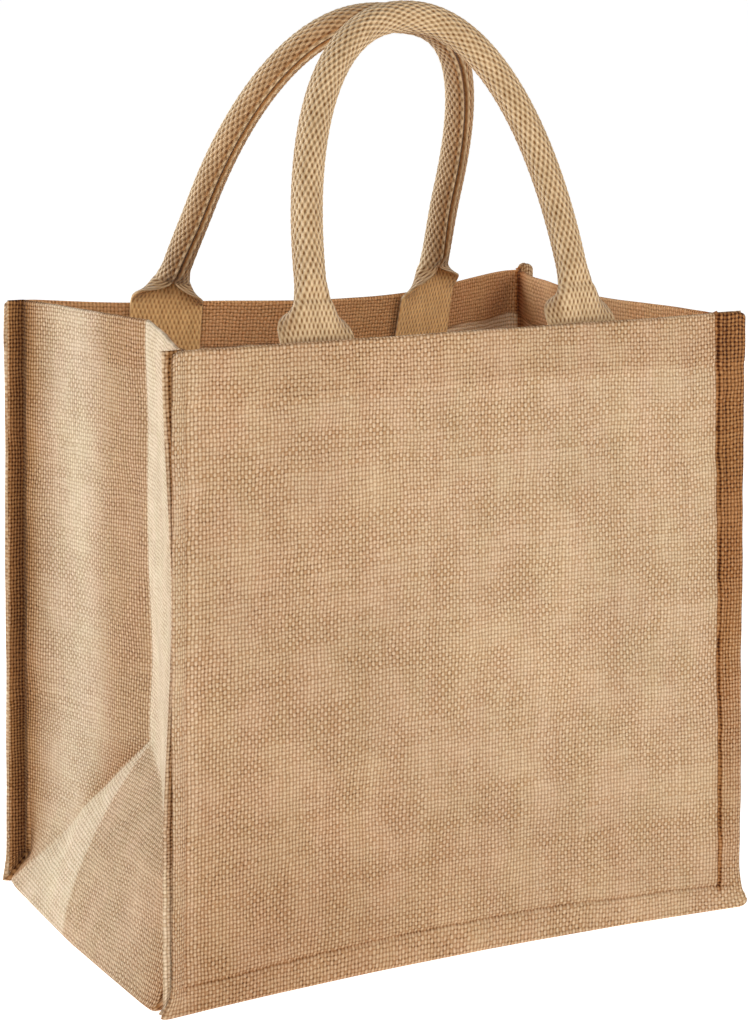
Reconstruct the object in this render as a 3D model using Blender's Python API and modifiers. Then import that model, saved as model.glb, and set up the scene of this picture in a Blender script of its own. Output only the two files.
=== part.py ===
"""Jute tote bag: a front and a back panel, one gusset strip and two padded webbing handles.

Metres, +Z up. +X runs right along the front panel and +Y runs from the front to the back.
The origin is on the floor in the middle of the bag. The two panels are joined by one strip
that runs down the left side, under the bag and up the right side. Every seam stands out as a
flange, the strip's sides are pushed in along a centre crease, and each handle is a strap
folded round a cord into a tube, with a flat foot sewn inside the hem.
"""

import math

import bmesh
import bpy
from mathutils import Vector

# Bag body
BODY_HEIGHT = 0.300
RIM_WIDTH = 0.302
FLOOR_WIDTH = 0.3125
RIM_DEPTH = 0.198
FLOOR_DEPTH = 0.2065

# Cloth
SINGLE_LAYER = 0.0013
HEM_LAYERS = 0.0026
HEM_DEPTH = 0.025
HEM_STEP = 0.002
GAP = 0.0003
TINY = 1e-6
FLOOR_SEAM_HEIGHT = 0.0135
FLANGE_FLOOR_GAP = 0.0006

# Width of the flange outside each upright seam: side, panel, at the rim, at the floor
FLANGES = {
    ("left", "front"): (0.0098, 0.0098),
    ("left", "back"): (0.0098, 0.0102),
    ("right", "front"): (0.0165, 0.0115),
    ("right", "back"): (0.0090, 0.0105),
}
CORNER_FLARE_HEIGHT = 0.025
CORNER_FLARE = {"left": 0.002, "right": 0.005}
RIM_CORNER_DROP = {
    ("left", "front"): 0.0015,
    ("left", "back"): 0.0010,
    ("right", "front"): 0.0025,
    ("right", "back"): -0.0020,
}

# Grid of a panel: even steps between its seams, and heights up to the hem
PANEL_STEPS = 12
SEAM_MARGIN = 0.007
PANEL_HEIGHTS = (0.0, FLOOR_SEAM_HEIGHT, 0.034, 0.065, 0.100, 0.135, 0.170, 0.205, 0.240)
HEM_HEIGHTS = (
    BODY_HEIGHT - HEM_DEPTH - HEM_STEP,
    BODY_HEIGHT - HEM_DEPTH,
    BODY_HEIGHT - HEM_DEPTH / 2,
    BODY_HEIGHT,
)

# How far the panels bow inwards
FRONT_FOOT_BOW = 0.008
BACK_RIM_BOW = 0.036
BACK_BOW_CENTRE = 0.028
BACK_BOW_POWER = 2.5
BACK_BOW_SHAPE = {"left": 1.0, "right": 1.25}

# Creases of the gusset strip
CREASE_HALF_SPAN = 0.117
CREASE_SHIFT = {"left": 0.0, "right": -0.006}
CREASE_APEX_HEIGHT = 0.097
CREASE_FLOOR_HALF_SPAN = 0.1580
CREASE_STEPS = 8
SEAM_ROOT = 0.005
WALL_HEIGHTS = (0.125, 0.155, 0.185, 0.215, 0.245)

# The turn of the strip from a wall to the floor, in three rows. Each gives the strip's middle,
# its seam and its flange's free edge, inwards from the floor's half span and up from the floor
CORNER_SEAM_HEIGHT = 0.024
FLANGE_INSET = 0.0008
CORNER_TURN = (
    {"middle": (0.0000, 0.0034), "seam": (0.0145, 0.0185), "edge": (0.0030, 0.0040)},
    {"middle": (0.0012, 0.0008), "seam": (0.0190, 0.0150), "edge": (0.0080, 0.0006)},
    {"middle": (0.0040, 0.0000), "seam": (0.0260, 0.0135), "edge": (0.0170, 0.0006)},
)
FLOOR_STEPS = 8
FLOOR_REACH = 0.105

# Handles
TUBE_DIAMETER = 0.0140
STRAP_WIDTH = 0.039
STRAP_THICKNESS = 0.0032
FOOT_GAP = 0.0005
FOOT_DEPTHS = (0.042, 0.030, 0.018, 0.006)
FLAT_SECTION_POWER = 0.45
HANDLE_SIDES = 12
HALF_ARCH_STATIONS = 14
ROOT_REACH = 0.060
SLOPE_STEP = 0.004
# How the strap closes into a tube above the rim: share of the opening's height, rounding
OPENING_OUT = (
    {"height": 0.10, "rounding": 0.00},
    {"height": 0.30, "rounding": 0.12},
    {"height": 0.50, "rounding": 0.42},
    {"height": 0.68, "rounding": 0.74},
    {"height": 0.85, "rounding": 0.92},
    {"height": 1.00, "rounding": 1.00},
)
# The arch stands on its two feet; each half of it is a superellipse with its own power
HANDLES = {
    "handle_front": {
        "centre": -0.0075, "rise": 0.1465, "lean": 19.0, "opening": 0.028,
        "half_span": {"left": 0.0685, "right": 0.0685}, "power": {"left": 2.2, "right": 2.2},
    },
    "handle_back": {
        "centre": -0.0005, "rise": 0.1590, "lean": 28.0, "opening": 0.018,
        "half_span": {"left": 0.0715, "right": 0.0665}, "power": {"left": 2.35, "right": 3.1},
    },
}

# Finish of each piece: colour (linear), roughness
FINISHES = {
    "front_panel": ((0.52, 0.33, 0.19), 0.90),
    "back_panel": ((0.50, 0.32, 0.18), 0.90),
    "gusset_strip": ((0.54, 0.36, 0.22), 0.90),
    "handle_front": ((0.45, 0.29, 0.12), 0.85),
    "handle_back": ((0.43, 0.28, 0.12), 0.85),
}


def blend(start, end, share):
    return start + (end - start) * share


def smooth(share):
    share = min(max(share, 0.0), 1.0)
    return share * share * (3.0 - 2.0 * share)


def half_width(z):
    return blend(FLOOR_WIDTH, RIM_WIDTH, z / BODY_HEIGHT) / 2


def half_depth(z):
    return blend(FLOOR_DEPTH, RIM_DEPTH, z / BODY_HEIGHT) / 2


def flange_width(side, panel, z):
    rim, floor = FLANGES[side, panel]
    return blend(floor, rim, z / BODY_HEIGHT)


def seam_x(side, panel, z):
    """Where the upright seam of one panel lies, signed along X."""
    sign = -1 if side == "left" else 1
    return sign * (half_width(z) - flange_width(side, panel, z))


def front_y(x, z):
    """Outer face of the front panel: its foot bows a little inwards."""
    across = min(abs(x) / half_width(z), 1.0)
    return -half_depth(z) + FRONT_FOOT_BOW * (1 - across**2) * (1 - z / BODY_HEIGHT) ** 2


def back_bow(x):
    """How far the rim of the back panel is drawn inwards at x."""
    side = "left" if x < BACK_BOW_CENTRE else "right"
    end = seam_x(side, "back", BODY_HEIGHT)
    end -= math.copysign(SEAM_MARGIN, end)
    across = min((x - BACK_BOW_CENTRE) / (end - BACK_BOW_CENTRE), 1.0)
    return BACK_RIM_BOW * (1 - across**2) ** BACK_BOW_SHAPE[side]


def back_y(x, z):
    """Outer face of the back panel: its rim is drawn inwards by the handle."""
    return half_depth(z) - back_bow(x) * (z / BODY_HEIGHT) ** BACK_BOW_POWER


def back_height(x, z):
    """The drawn-in rim of the back panel also comes down."""
    return z - back_bow(x) ** 2 / BODY_HEIGHT * (z / BODY_HEIGHT) ** BACK_BOW_POWER


def panel_point(panel_name, column, z):
    """Point (x, z) of a panel: columns run edge, seam, even steps, seam, edge."""
    last = PANEL_STEPS + 4
    side, sign = ("left", -1) if column < last / 2 else ("right", 1)
    from_edge = min(column, last - column)
    if from_edge == 0:
        flare = CORNER_FLARE[side] * max(1 - z / CORNER_FLARE_HEIGHT, 0.0) ** 2
        drop = RIM_CORNER_DROP[side, panel_name] if z == BODY_HEIGHT else 0.0
        return sign * (half_width(z) + flare), z - drop
    if from_edge == 1:
        return seam_x(side, panel_name, z), z
    ends = [seam_x("left", panel_name, z) + SEAM_MARGIN, seam_x("right", panel_name, z) - SEAM_MARGIN]
    return blend(*ends, (column - 2) / PANEL_STEPS), z


def finish(obj):
    colour, roughness = FINISHES[obj.name]
    material = bpy.data.materials.new(obj.name)
    material.use_nodes = True
    shader = material.node_tree.nodes["Principled BSDF"]
    shader.inputs["Base Color"].default_value = (*colour, 1.0)
    shader.inputs["Roughness"].default_value = roughness
    shader.inputs["Metallic"].default_value = 0.0
    obj.data.materials.append(material)
    obj.data.shade_smooth()


def sheet(name, collection, columns, rows, place, layers, folds=(), flip=False):
    """A sheet of cloth over a grid, made solid towards the inside of the bag.

    place(column, row) is a point of its outer face, and layers(column, row) is the share of
    the hem's thickness there. folds are pairs of (column, row) joined by an edge.
    """
    bm = bmesh.new()
    weights = bm.verts.layers.deform.verify()
    bmesh.ops.create_grid(bm, x_segments=columns - 1, y_segments=rows - 1, size=1.0)
    grid = {}
    for vertex in bm.verts:
        column = round((vertex.co.x + 1) / 2 * (columns - 1))
        row = round((vertex.co.y + 1) / 2 * (rows - 1))
        grid[column, row] = vertex
    for cell, vertex in grid.items():
        vertex.co = place(*cell)
        vertex[weights][0] = layers(*cell)
    for start, end in folds:
        bmesh.ops.connect_verts(bm, verts=[grid[start], grid[end]])
    if flip:
        bmesh.ops.reverse_faces(bm, faces=bm.faces)
    mesh = bpy.data.meshes.new(name)
    bm.to_mesh(mesh)
    bm.free()
    obj = bpy.data.objects.new(name, mesh)
    obj.vertex_groups.new(name="layers")
    solidify = obj.modifiers.new("thickness", "SOLIDIFY")
    solidify.thickness = HEM_LAYERS
    solidify.offset = -1.0
    solidify.vertex_group = "layers"
    solidify.use_even_offset = True
    collection.objects.link(obj)
    finish(obj)


def panel(name, collection, outer_y, height, flip):
    """A flat panel with its rim turned in as a hem."""
    heights = PANEL_HEIGHTS + HEM_HEIGHTS

    def place(column, row):
        x, z = panel_point(name.split("_")[0], column, heights[row])
        return Vector((x, outer_y(x, z), height(x, z)))

    def layers(column, row):
        in_hem = heights[row] > BODY_HEIGHT - HEM_DEPTH - HEM_STEP / 2
        return 1.0 if in_hem else SINGLE_LAYER / HEM_LAYERS

    sheet(name, collection, PANEL_STEPS + 5, len(heights), place, layers, flip=flip)


def wall_stations():
    """Rows of one side wall from the rim to the floor: height and share of the fold.

    The share says where the slanting creases stand between the middle, 0, and a seam, 1.
    """
    stations = [{"z": z, "crease": 0.0} for z in HEM_HEIGHTS[::-1] + WALL_HEIGHTS[::-1]]
    for step in range(CREASE_STEPS):
        share = step / CREASE_STEPS
        stations.append({"z": CREASE_APEX_HEIGHT * (1 - share), "crease": share})
    return stations


def wall_x(z):
    """Distance of the crease, or of the flat triangle below it, from the bag's middle."""
    below = max(CREASE_APEX_HEIGHT - z, 0.0) / CREASE_APEX_HEIGHT
    return blend(CREASE_HALF_SPAN, CREASE_FLOOR_HALF_SPAN, below)


def strip_row(middle, middle_y, crease, seams, edge):
    """One row of the gusset strip; middle, seams and edge are (x, z).

    crease is the share of the way from the middle to a seam where the slanting creases stand.
    """
    return {"middle": Vector((middle[0], middle_y, middle[1])), "crease": crease,
            "seam": seams, "edge": edge}


def strip_rows():
    """Rows of the gusset strip, from the left rim round under the bag to the right rim."""
    panels = ("front", "back")
    floor_crease = 1 - 1 / CREASE_STEPS
    sides = {}
    for side, sign in (("left", -1), ("right", 1)):
        sides[side] = []
        for station in wall_stations():
            z = station["z"]
            seam_z = max(z, CORNER_SEAM_HEIGHT)
            seams = {panel_name: (seam_x(side, panel_name, z), seam_z) for panel_name in panels}
            middle_y = CREASE_SHIFT[side] * z / BODY_HEIGHT
            edge = (sign * (half_width(z) - FLANGE_INSET), z)
            sides[side].append(
                strip_row((sign * wall_x(z), z), middle_y, station["crease"], seams, edge)
            )
        for corner in CORNER_TURN:
            middle, seam, edge = (
                (sign * (CREASE_FLOOR_HALF_SPAN - corner[key][0]), corner[key][1])
                for key in ("middle", "seam", "edge")
            )
            sides[side].append(
                strip_row(middle, 0.0, floor_crease, dict.fromkeys(panels, seam), edge)
            )
    floor = []
    for step in range(FLOOR_STEPS):
        x = blend(-FLOOR_REACH, FLOOR_REACH, step / (FLOOR_STEPS - 1))
        seams = dict.fromkeys(panels, (x, FLOOR_SEAM_HEIGHT))
        floor.append(strip_row((x, 0.0), 0.0, floor_crease, seams, (x, FLANGE_FLOOR_GAP)))
    return sides["left"] + floor + sides["right"][::-1]


def gusset_strip(collection):
    """The strip between the panels: flange, seam, wall, seam and flange across its width."""
    rows = strip_rows()
    steps = CREASE_STEPS
    middle_column = steps + 2
    behind_panel = HEM_LAYERS + GAP + SINGLE_LAYER

    def flange_point(panel_name, x, z):
        if panel_name == "front":
            return Vector((x, front_y(x, z) + behind_panel, z))
        return Vector((x, back_y(x, z) - behind_panel, back_height(x, z)))

    def place(column, row):
        data = rows[row]
        across = column - middle_column
        inwards = 1 if across < 0 else -1
        panel_name = "front" if across < 0 else "back"
        if abs(across) == steps + 2:
            return flange_point(panel_name, *data["edge"])
        seam = flange_point(panel_name, *data["seam"][panel_name])
        if abs(across) == steps + 1:
            return seam
        root = seam + Vector((0.0, inwards * SEAM_ROOT, 0.0))
        middle = data["middle"]
        crease = middle.copy()
        crease.y = blend(middle.y, root.y, data["crease"])
        share = abs(across) / steps
        if share <= data["crease"]:
            return middle.lerp(crease, share / max(data["crease"], TINY))
        return crease.lerp(root, (share - data["crease"]) / (1 - data["crease"]))

    def layers(column, row):
        z = rows[row]["middle"].z
        in_hem = z > BODY_HEIGHT - HEM_DEPTH - HEM_STEP / 2
        on_wall = abs(column - middle_column) <= steps
        return 1.0 if in_hem and on_wall else SINGLE_LAYER / HEM_LAYERS

    folds = []
    apex = len(wall_stations()) - steps
    for step in range(steps - 1):
        for sign in (-1, 1):
            start = (middle_column + sign * step, apex + step)
            end = (middle_column + sign * (step + 1), apex + step + 1)
            folds.append((start, end))
            folds.append(tuple((column, len(rows) - 1 - row) for column, row in (start, end)))
    sheet("gusset_strip", collection, 2 * middle_column + 1, len(rows), place, layers, folds)


def handle_section(centre, across, outward, rounding):
    """Points of one section: a flat strap at rounding 0, a round tube at rounding 1."""
    width = blend(STRAP_WIDTH, TUBE_DIAMETER, rounding)
    thickness = blend(STRAP_THICKNESS, TUBE_DIAMETER, rounding)
    power = blend(FLAT_SECTION_POWER, 1.0, rounding)
    points = []
    for i in range(HANDLE_SIDES):
        angle = 2 * math.pi * (i + 0.5) / HANDLE_SIDES
        along = math.copysign(abs(math.cos(angle)) ** power, math.cos(angle)) * width / 2
        out = math.copysign(abs(math.sin(angle)) ** power, math.sin(angle)) * thickness / 2
        points.append(centre + across * along + outward * out)
    return points


def foot_station(name, x, z):
    """Centre of the flat strap against the inside of the hem, and its outward normal."""
    if name == "handle_front":
        def surface(u, w):
            return Vector((u, front_y(u, w), w))
    else:
        def surface(u, w):
            return Vector((u, back_y(u, w), back_height(u, w)))
    step = SLOPE_STEP
    across = surface(x + step, z) - surface(x - step, z)
    up = surface(x, z) - surface(x, z - step)
    outward = across.cross(up).normalized()
    if name == "handle_back":
        outward = -outward
    inset = HEM_LAYERS + FOOT_GAP + STRAP_THICKNESS / 2
    return surface(x, z) - outward * inset, outward


def handle_stations(name):
    """Stations of a whole handle, left foot to right foot: centre, outward normal, rounding."""
    data = HANDLES[name]
    forward = 1 if name == "handle_front" else -1
    lean = math.radians(data["lean"])
    upwards = Vector((0.0, forward * math.sin(lean), math.cos(lean)))
    plane_outward = Vector((0.0, -forward * math.cos(lean), math.sin(lean)))
    foot_x = {
        "left": data["centre"] - data["half_span"]["left"],
        "right": data["centre"] + data["half_span"]["right"],
    }
    roots = {side: foot_station(name, x, BODY_HEIGHT) for side, x in foot_x.items()}
    base = (roots["left"][0] + roots["right"][0]) / 2
    base.x = data["centre"]

    def arch_station(side, turn, rounding):
        """A station at an angle, turn, from the foot on one side, 0, to the top, a right angle."""
        power = data["power"][side]
        height = data["rise"] * math.sin(turn) ** (2 / power)
        reach = math.cos(turn) ** (2 / power)
        root, root_outward = roots[side]
        settle = 1 - smooth(height / ROOT_REACH)
        foot = base.copy()
        foot.x = foot_x[side]
        centre = base.lerp(foot, reach) + upwards * height + (root - foot) * settle
        return centre, plane_outward.lerp(root_outward, settle).normalized(), rounding

    def half(side):
        def turn_at(height):
            return math.asin((height / data["rise"]) ** (data["power"][side] / 2))

        stations = [
            (*foot_station(name, foot_x[side], BODY_HEIGHT - depth), 0.0) for depth in FOOT_DEPTHS
        ]
        for row in OPENING_OUT:
            turn = turn_at(row["height"] * data["opening"])
            stations.append(arch_station(side, turn, row["rounding"]))
        first = turn_at(data["opening"])
        for step in range(1, HALF_ARCH_STATIONS):
            turn = blend(first, math.pi / 2, step / HALF_ARCH_STATIONS)
            stations.append(arch_station(side, turn, 1.0))
        return stations

    top = arch_station("left", math.pi / 2, 1.0)
    return half("left") + [top] + half("right")[::-1]


def handle(name, collection):
    """A strap handle, lofted through its stations."""
    stations = handle_stations(name)
    centres = [station[0] for station in stations]
    bm = bmesh.new()
    rings = []
    for i, (centre, outward, rounding) in enumerate(stations):
        ahead = centres[min(i + 1, len(centres) - 1)]
        behind = centres[max(i - 1, 0)]
        tangent = (ahead - behind).normalized()
        across = tangent.cross(outward).normalized()
        square = across.cross(tangent)
        points = handle_section(centre, across, square, rounding)
        rings.append([bm.verts.new(point) for point in points])
    for ring, following in zip(rings, rings[1:]):
        for i in range(HANDLE_SIDES):
            j = (i + 1) % HANDLE_SIDES
            bm.faces.new((ring[i], ring[j], following[j], following[i]))
    bm.faces.new(rings[0])
    bm.faces.new(rings[-1][::-1])
    bmesh.ops.recalc_face_normals(bm, faces=bm.faces)
    mesh = bpy.data.meshes.new(name)
    bm.to_mesh(mesh)
    bm.free()
    obj = bpy.data.objects.new(name, mesh)
    collection.objects.link(obj)
    finish(obj)


def main():
    for obj in list(bpy.data.objects):
        bpy.data.objects.remove(obj, do_unlink=True)
    collection = bpy.data.collections.new("jute_tote_bag")
    bpy.context.scene.collection.children.link(collection)
    panel("front_panel", collection, front_y, lambda x, z: z, flip=False)
    panel("back_panel", collection, back_y, back_height, flip=True)
    gusset_strip(collection)
    for name in HANDLES:
        handle(name, collection)


main()
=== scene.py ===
"""Jute tote bag: woven panels, folded gusset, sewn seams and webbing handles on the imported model.

Metres, +Z up, in the model's own frame: +X runs right along the front panel, +Y to the back.
Each sheet of cloth is a fine grid on the folds of its solid, with a rounded edge all round.
"""

import math

import bpy
import numpy as np
from mathutils import Matrix, Vector


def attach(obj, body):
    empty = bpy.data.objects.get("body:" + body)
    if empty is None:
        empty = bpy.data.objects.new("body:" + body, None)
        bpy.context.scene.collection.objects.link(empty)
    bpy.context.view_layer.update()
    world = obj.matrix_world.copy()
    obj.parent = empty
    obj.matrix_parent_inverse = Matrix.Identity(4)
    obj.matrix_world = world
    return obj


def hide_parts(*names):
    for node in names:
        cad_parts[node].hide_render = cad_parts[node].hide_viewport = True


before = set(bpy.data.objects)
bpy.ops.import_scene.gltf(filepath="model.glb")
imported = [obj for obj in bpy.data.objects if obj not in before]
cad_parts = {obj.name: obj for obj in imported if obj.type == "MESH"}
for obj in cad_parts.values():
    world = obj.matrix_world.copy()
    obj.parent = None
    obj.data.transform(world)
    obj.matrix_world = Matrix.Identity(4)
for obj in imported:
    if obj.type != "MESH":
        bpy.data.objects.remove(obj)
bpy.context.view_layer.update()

# Signs of the two sides along X and of the two panels along Y
SIDES = {"left": -1, "right": 1}
PANELS = {"front": -1, "back": 1}

# Sizes of the bag. They differ a little from its solids' at the left back flange, in the corners
# of the floor and in the fold that ends at FRONT_FOLD_HEIGHT, where they follow the photo closer.
BODY_HEIGHT = 0.300
RIM_WIDTH, FLOOR_WIDTH = 0.302, 0.3125
RIM_DEPTH, FLOOR_DEPTH = 0.198, 0.2065
SINGLE_LAYER, HEM_LAYERS = 0.0013, 0.0026
HEM_DEPTH = 0.025
HEM_EDGE = BODY_HEIGHT - HEM_DEPTH
FLAT_WIDTH = (RIM_WIDTH + FLOOR_WIDTH) / 2
GAP = 0.0003
# Widths of the flanges at the rim and at the floor
FLANGES = {
    ("left", "front"): (0.0098, 0.0098),
    ("left", "back"): (0.0086, 0.0090),
    ("right", "front"): (0.0165, 0.0115),
    ("right", "back"): (0.0090, 0.0105),
}
CORNER_FLARE_HEIGHT = 0.025
CORNER_FLARE = {"left": 0.0020, "right": 0.005}
SEAM_MARGIN = 0.007
FRONT_FOOT_BOW = 0.008
BACK_RIM_BOW, BACK_BOW_CENTRE, BACK_BOW_POWER = 0.036, 0.028, 2.5
BACK_BOW_SHAPE = {"left": 1.0, "right": 1.25}
CREASE_HALF_SPAN = 0.117
CREASE_SHIFT = {"left": 0.0, "right": -0.006}
CREASE_APEX_HEIGHT = 0.097
CREASE_FLOOR_HALF_SPAN = 0.1600
FRONT_FOLD_HEIGHT = 0.0575
SEAM_ROOT = 0.005
CORNER_SEAM_HEIGHT = 0.016
FLOOR_SEAM_HEIGHT = 0.0135
FLANGE_FLOOR_GAP = 0.0006
FLANGE_INSET = 0.0008
FLOOR_REACH = 0.105
# How the strip turns on to the floor: inwards from the crease's foot, and up
CORNER_TURN = (
    {"middle": (0.0000, 0.0026), "seam": (0.0150, 0.0150), "edge": (0.0012, 0.0024)},
    {"middle": (0.0010, 0.0006), "seam": (0.0180, 0.0140), "edge": (0.0050, 0.0005)},
    {"middle": (0.0036, 0.0000), "seam": (0.0240, 0.0135), "edge": (0.0130, 0.0005)},
)

# Weave
WARP_PITCH, WEFT_PITCH = 0.00174, 0.00192
GRID_STEP = 0.0024
ROUND_STEPS = 3


def blend(start, end, share):
    return start + (end - start) * share


def smooth(share):
    share = np.clip(share, 0.0, 1.0)
    return share * share * (3.0 - 2.0 * share)


def near(distance, reach):
    """1 up to no distance, and from there softly down to 0 at reach."""
    return smooth(1 - distance / reach)


def bump(distance, reach):
    """A soft ridge: 1 at no distance, 0 from reach on."""
    return near(np.abs(distance), reach)


def line(distance, width):
    """A narrow line with soft sides."""
    return np.exp(-((distance / width) ** 2))


def fade(distance, reach):
    """1 at no distance, and less and less further away."""
    return np.exp(-np.abs(distance) / reach)


def ripple(a, b, size, seed, waves=6):
    """Uneven waves of about one size over (a, b), from about -1 to 1, the same each run."""
    draw = np.random.default_rng(seed)
    total = 0.0
    for _ in range(waves):
        turn = draw.uniform(0, math.tau)
        length = size * draw.uniform(0.6, 1.7)
        phase = draw.uniform(0, math.tau)
        total += np.sin((a * math.cos(turn) + b * math.sin(turn)) * math.tau / length + phase)
    return total / math.sqrt(waves)


def half_width(z):
    return blend(FLOOR_WIDTH, RIM_WIDTH, z / BODY_HEIGHT) / 2


def half_depth(z):
    return blend(FLOOR_DEPTH, RIM_DEPTH, z / BODY_HEIGHT) / 2


def seam_x(side, panel, z):
    """Where the upright seam of one panel lies, signed along X."""
    rim, floor = FLANGES[side, panel]
    return SIDES[side] * (half_width(z) - blend(floor, rim, z / BODY_HEIGHT))


def front_y(x, z):
    """Outer face of the front panel: its foot bows a little inwards."""
    across = np.minimum(np.abs(x) / half_width(z), 1.0)
    return -half_depth(z) + FRONT_FOOT_BOW * (1 - across**2) * (1 - z / BODY_HEIGHT) ** 2


def back_bow(x):
    """How far the rim of the back panel is drawn inwards at x."""
    bow = 0.0
    for side, sign in SIDES.items():
        end = seam_x(side, "back", BODY_HEIGHT) - sign * SEAM_MARGIN
        across = np.clip((x - BACK_BOW_CENTRE) / (end - BACK_BOW_CENTRE), 0.0, 1.0)
        here = (x < BACK_BOW_CENTRE) if side == "left" else (x >= BACK_BOW_CENTRE)
        bow += np.where(here, BACK_RIM_BOW * (1 - across**2) ** BACK_BOW_SHAPE[side], 0.0)
    return bow


def back_y(x, z):
    """Outer face of the back panel: its rim is drawn inwards by the handle."""
    return half_depth(z) - back_bow(x) * (z / BODY_HEIGHT) ** BACK_BOW_POWER


def back_height(x, z):
    """The back panel's cloth leans as it is drawn in, so it ends a little lower."""
    return z - back_bow(x) ** 2 / BODY_HEIGHT * (z / BODY_HEIGHT) ** BACK_BOW_POWER


def outer_face(panel, x, z):
    """Points of a panel's outer face, at x and at z up its cloth."""
    if panel == "front":
        return np.stack([x, front_y(x, z), z], axis=-1)
    return np.stack([x, back_y(x, z), back_height(x, z)], axis=-1)


# ---------------- materials


def add_node(tree, kind, inputs, output=0, **settings):
    """A new node's output, as a wire. The node's inputs are wires, numbers or colours."""
    node = tree.nodes.new("ShaderNode" + kind)
    for key, value in settings.items():
        setattr(node, key, value)
    for slot, value in inputs.items():
        if isinstance(value, Wire):
            tree.links.new(value.socket, node.inputs[slot])
        else:
            node.inputs[slot].default_value = (*value, 1.0) if isinstance(value, tuple) else value
    return Wire(tree, node.outputs[output])


class Wire:
    """A value inside a node tree, so that a pattern can be written as a sum."""

    def __init__(self, tree, socket):
        self.tree = tree
        self.socket = socket

    def math(self, operation, other=0.0, clamp=False):
        return add_node(self.tree, "Math", {0: self, 1: other}, operation=operation, use_clamp=clamp)

    def __add__(self, other):
        return self.math("ADD", other)

    def __sub__(self, other):
        return self.math("SUBTRACT", other)

    def __mul__(self, other):
        return self.math("MULTIPLY", other)

    def floor(self):
        return self.math("FLOOR")

    def clamp(self):
        return self.math("ADD", clamp=True)

    def rest(self):
        """What is left of 1."""
        return self * -1.0 + 1.0

    def ridge(self):
        """Height across a yarn: 0 at whole numbers and 1 half way between them."""
        return (self * math.pi).math("SINE").math("ABSOLUTE")

    def between(self, low, high):
        """0 below low and 1 above high, smoothly."""
        inputs = {"Value": self, "From Min": low, "From Max": high}
        return add_node(self.tree, "MapRange", inputs, interpolation_type="SMOOTHSTEP")

    def mix(self, first, second):
        """first where this is 0, second where it is 1."""
        return first + (second - first) * self


def place_at(x, y, z=0.0):
    return add_node(x.tree, "CombineXYZ", {0: x, 1: y, 2: z})


def noise(place, scale, detail=2.0, roughness=0.5):
    inputs = {"Vector": place, "Scale": scale, "Detail": detail, "Roughness": roughness}
    return add_node(place.tree, "TexNoise", inputs, "Fac")


def chance(value, salt):
    """A random number for each whole value."""
    return add_node(value.tree, "TexWhiteNoise", {"W": value + salt}, "Value", noise_dimensions="1D")


def attribute(tree, name):
    return add_node(tree, "Attribute", {}, "Fac", attribute_name=name)


def weave_map(tree):
    """The two counts in the weave map: of yarns, or of the webbing's columns and repeats."""
    place = add_node(tree, "UVMap", {}, uv_map="weave")
    return [add_node(tree, "SeparateXYZ", {0: place}, axis) for axis in (0, 1)]


def colour_mix(share, first, second, blend_type="MIX"):
    inputs = {0: share, 6: first, 7: second}
    tree = share.tree if isinstance(share, Wire) else first.tree
    return add_node(tree, "Mix", inputs, 2, data_type="RGBA", blend_type=blend_type)


def scaled(colour, factor):
    return add_node(colour.tree, "VectorMath", {0: colour, "Scale": factor}, operation="SCALE")


# Painted shade: light bounced between folds leaves this share of each colour,
# and this again where it is darkest
BROWN, DEEP_BROWN = (0.60, 0.385, 0.215), (0.48, 0.41, 0.35)


def painted_shade(colour, shade):
    """Painted shade between folds: the colour turns brown at a shade of 1 and dark brown at 2."""
    first = colour_mix(shade.clamp(), colour, BROWN, "MULTIPLY")
    return colour_mix((shade - 1.0).clamp(), first, DEEP_BROWN, "MULTIPLY")


def new_material(name, surface):
    """A material, its node tree and its shader, with these values of its surface."""
    material = bpy.data.materials.new(name)
    material.use_nodes = True
    shader = material.node_tree.nodes["Principled BSDF"]
    for key, value in surface.items():
        shader.inputs[key].default_value = value
    return material, material.node_tree, shader


def dress(shader, colour, height, relief):
    """Gives the shader its colour, and its bump from a height."""
    bump_map = add_node(colour.tree, "Bump", {"Height": height, **relief})
    colour.tree.links.new(colour.socket, shader.inputs["Base Color"])
    colour.tree.links.new(bump_map.socket, shader.inputs["Normal"])


# Tones of the jute. The gusset's are a paler copy of the panel's, painted light where the gusset is
# brightly lit; the inside's are a redder copy, painted warm light bounced about inside the bag
JUTE = {
    "panel": {"light": (0.680, 0.503, 0.338), "dull": (0.428, 0.252, 0.127),
              "gap": (0.130, 0.050, 0.012), "through": 0.0},
    "gusset": {"light": (0.735, 0.578, 0.410), "dull": (0.445, 0.296, 0.172),
               "gap": (0.140, 0.060, 0.017), "through": 0.0},
    "inside": {"light": (0.840, 0.490, 0.250), "dull": (0.620, 0.303, 0.125),
               "gap": (0.170, 0.055, 0.013), "through": 0.8},
}
JUTE_SURFACE = {"Roughness": 0.90, "Specular IOR Level": 0.10, "Sheen Weight": 0.06,
                "Sheen Roughness": 0.50, "Sheen Tint": (1.0, 0.90, 0.72, 1.0)}
JUTE_BUMP = {"Strength": 0.75, "Distance": 0.0007}
# Patches of the cloth lean towards olive or towards pink by these factors
OLIVE, PINK = (0.99, 1.00, 0.955), (1.01, 0.988, 0.975)
# Light that comes through a single layer, seen from inside
THROUGH = (1.000, 0.775, 0.520)
# Darkness of the furrows between upright yarns and of the holes between four, in single cloth,
# and how much it changes in double cloth
FURROW, HOLE = {"single": 0.13, "change": -0.09}, {"single": 0.42, "change": 0.14}
# How many yarns a yarn wanders sideways, slowly and quickly
WANDER = ({"scale": 0.035, "warp": 2.2, "weft": 2.2}, {"scale": 0.30, "warp": 0.55, "weft": 0.75})
# How much duller crossing yarns are, and how far tones drift over broad patches
WEFT_DULL, CLOUD_DEPTH = 0.40, 0.34
GRAIN = {"detail": 3.0, "roughness": 0.65}


def wandered(count, place, yarns):
    for row in WANDER:
        count = count + (noise(place, row["scale"]) - 0.5) * row[yarns]
    return count


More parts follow.
